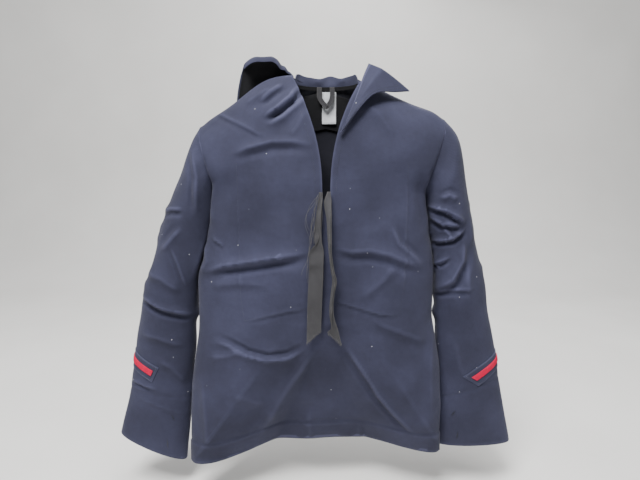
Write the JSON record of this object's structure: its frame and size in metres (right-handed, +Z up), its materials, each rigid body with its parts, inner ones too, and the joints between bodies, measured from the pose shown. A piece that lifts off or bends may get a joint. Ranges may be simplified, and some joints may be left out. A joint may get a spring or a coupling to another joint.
{
  "type": "sailor jumper",
  "caption": "Navy wool pullover with a deep front slit, sailor collar, tape ties, wide sleeves with a red slanted stripe, and a hanging loop",
  "frame": {"origin": "middle of the neck opening, level with the neck points of the shoulders, where a hanger's hook comes out", "axes": "+Z up, -Y the coat's front, +X the wearer's left"},
  "size_m": [0.7836, 0.1393, 0.7854],
  "materials": {
    "navy_wool": "matt twill wool",
    "black_lining": "matt plain-woven cotton",
    "black_tape": "matt twill tape",
    "white_label": "smooth woven label, blank",
    "red_felt": "matt felt",
    "dark_button": "low-gloss plastic"
  },
  "bodies": {
    "coat": {"front_panel": "navy_wool", "back_panel": "navy_wool", "front_hem_facing": "navy_wool", "back_hem_facing": "navy_wool", "front_facing": "black_lining", "yoke_lining": "black_lining", "right_shoulder_tape": "black_tape", "left_shoulder_tape": "black_tape", "neck_tape": "black_tape", "collar_stand": "navy_wool", "right_collar_front": "navy_wool", "left_collar_front": "navy_wool", "label": "white_label"},
    "right_sleeve": {"right_sleeve": "navy_wool", "right_cuff_facing": "navy_wool", "right_stripe_patch": "navy_wool", "right_stripe": "red_felt", "right_cuff_button_upper": "dark_button", "right_cuff_button_lower": "dark_button"},
    "left_sleeve": {"left_sleeve": "navy_wool", "left_cuff_facing": "navy_wool", "left_stripe_patch": "navy_wool", "left_stripe": "red_felt", "left_cuff_button_upper": "dark_button", "left_cuff_button_lower": "dark_button"},
    "sailor_collar": {"collar_flap": "navy_wool", "collar_flap_lining": "black_lining"},
    "right_tie": {"right_tie": "black_tape"},
    "left_tie": {"left_tie": "black_tape"},
    "hanging_loop": {"hanging_loop": "black_tape"}
  },
  "joints": [
    {"name": "right_shoulder", "type": "hinge", "parent": "coat", "child": "right_sleeve", "pos_m": [-0.2365, 0, -0.079], "axis": [0, 1, 0], "range_deg": [0, 75]},
    {"name": "left_shoulder", "type": "hinge", "parent": "coat", "child": "left_sleeve", "pos_m": [0.2235, 0, -0.079], "axis": [0, -1, 0], "range_deg": [0, 75]},
    {"name": "collar_fold", "type": "hinge", "parent": "coat", "child": "sailor_collar", "pos_m": [0, 0.0495, 0.018], "axis": [1, 0, 0], "range_deg": [0, 120]},
    {"name": "right_tie_sewing", "type": "hinge", "parent": "coat", "child": "right_tie", "pos_m": [-0.015, -0.0685, -0.201], "axis": [-1, 0, 0], "range_deg": [0, 100]},
    {"name": "left_tie_sewing", "type": "hinge", "parent": "coat", "child": "left_tie", "pos_m": [0.013, -0.0685, -0.201], "axis": [-1, 0, 0], "range_deg": [0, 100]},
    {"name": "loop_sewing", "type": "hinge", "parent": "coat", "child": "hanging_loop", "pos_m": [0, 0.0329, -0.003], "axis": [-1, 0, 0], "range_deg": [0, 160]}
  ]
}
